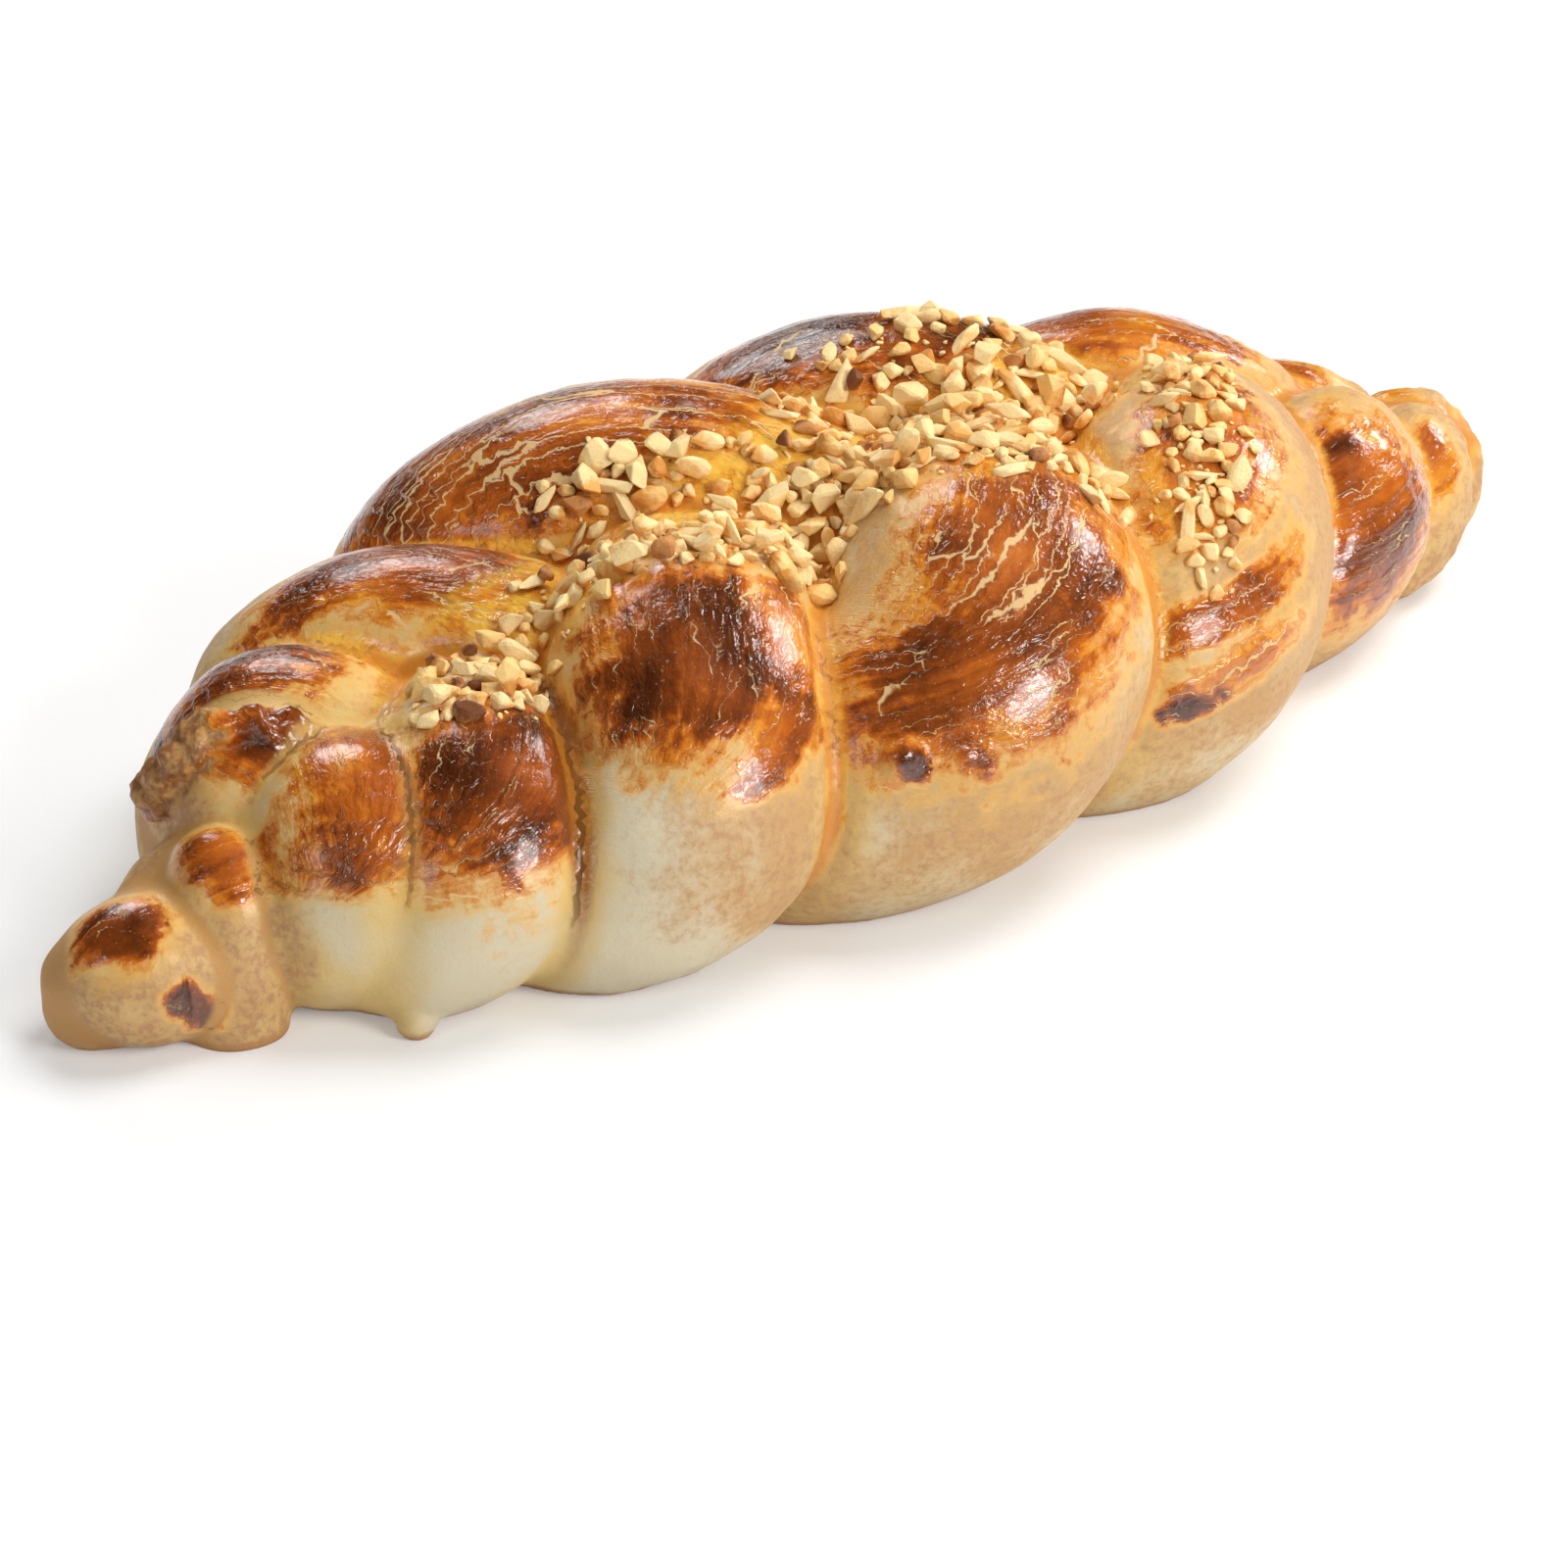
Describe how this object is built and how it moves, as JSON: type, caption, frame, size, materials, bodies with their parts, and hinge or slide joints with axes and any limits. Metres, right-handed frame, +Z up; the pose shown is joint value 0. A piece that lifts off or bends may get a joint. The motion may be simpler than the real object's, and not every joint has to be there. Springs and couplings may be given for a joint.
{
  "type": "braided loaf",
  "caption": "Baked three-strand braided loaf with tapered ends, a knotted tip, glossy brown crust and chopped nuts along the middle; flat underside.",
  "frame": {"origin": "bottom centre of the bounding box, on the plane of the flat underside", "axes": "+X along the loaf towards its plain tip, -X towards the knotted tip, +Z up"},
  "size_m": [0.3254, 0.1456, 0.063],
  "materials": {
    "crust": "egg-washed baked crust, glossy mahogany brown on top and pale golden dough below",
    "nuts": "dry chopped nuts, cream with toasted tan edges"
  },
  "bodies": {
    "root": {"loaf": "crust"}
  },
  "joints": []
}
